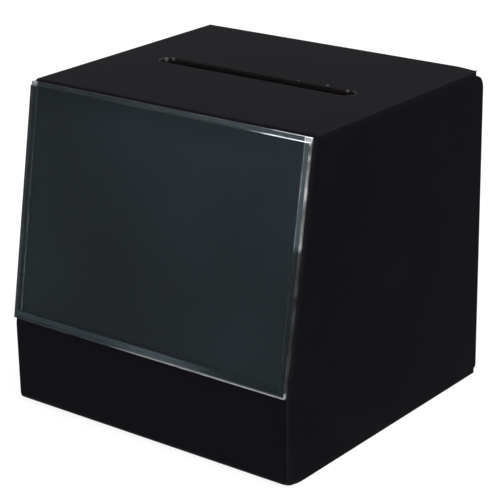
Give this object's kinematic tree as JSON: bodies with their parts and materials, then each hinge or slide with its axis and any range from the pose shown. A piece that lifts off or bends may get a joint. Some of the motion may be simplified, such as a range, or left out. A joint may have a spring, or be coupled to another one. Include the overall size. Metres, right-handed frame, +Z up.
{
  "type": "ballot box",
  "caption": "Countertop box with a paper slot in its top, a clear sign pocket on its leaning front and a hinged, locking rear door.",
  "frame": {"origin": "centre of the bounding box's footprint, on the surface the box stands on", "axes": "+Z up, -Y the leaning front with the sign pocket, +Y the rear door, X along the width"},
  "size_m": [0.19, 0.1862, 0.183],
  "materials": {
    "black_wrap": "black acrylic sheet, smooth and glossy, heat bent",
    "black_side": "black acrylic sheet, smooth and glossy",
    "black_rear": "black acrylic sheet, smooth and glossy, inset strips and door",
    "clear_sheet": "clear acrylic sheet with polished edges",
    "clear_strip": "clear acrylic spacer strip with polished edges",
    "hinge_steel": "rolled steel, fine brushed",
    "rivet_steel": "plain rivet",
    "lock_chrome": "bright plated lock",
    "lock_zinc": "zinc plated steel"
  },
  "bodies": {
    "box": {"wrap_panel": "black_wrap", "left_side_panel": "black_side", "right_side_panel": "black_side", "rear_header": "black_rear", "rear_sill": "black_rear", "door_stop_left": "black_rear", "door_stop_right": "black_rear", "sign_backing": "clear_sheet", "sign_pane": "clear_sheet", "sign_rail_left": "clear_strip", "sign_rail_right": "clear_strip", "sign_rail_bottom": "clear_strip", "hinge_body_leaf": "hinge_steel", "hinge_pin": "hinge_steel", "hinge_body_rivets": "rivet_steel"},
    "door": {"rear_door": "black_rear", "hinge_door_leaf": "hinge_steel", "hinge_door_rivets": "rivet_steel", "lock_housing": "lock_chrome", "lock_washer": "lock_zinc", "lock_nut": "lock_zinc"},
    "lock_core": {"lock_plug": "lock_chrome", "lock_stop_washer": "lock_zinc", "lock_cam": "lock_zinc", "cam_screw": "lock_zinc"}
  },
  "joints": [
    {"name": "door_hinge", "type": "hinge", "parent": "box", "child": "door", "pos_m": [0, 0.09054, 0.1635], "axis": [1, 0, 0], "range_deg": [0, 180]},
    {"name": "lock_turn", "type": "hinge", "parent": "door", "child": "lock_core", "pos_m": [0, 0.08809, 0.0345], "axis": [0, 1, 0], "range_deg": [0, 90]}
  ]
}
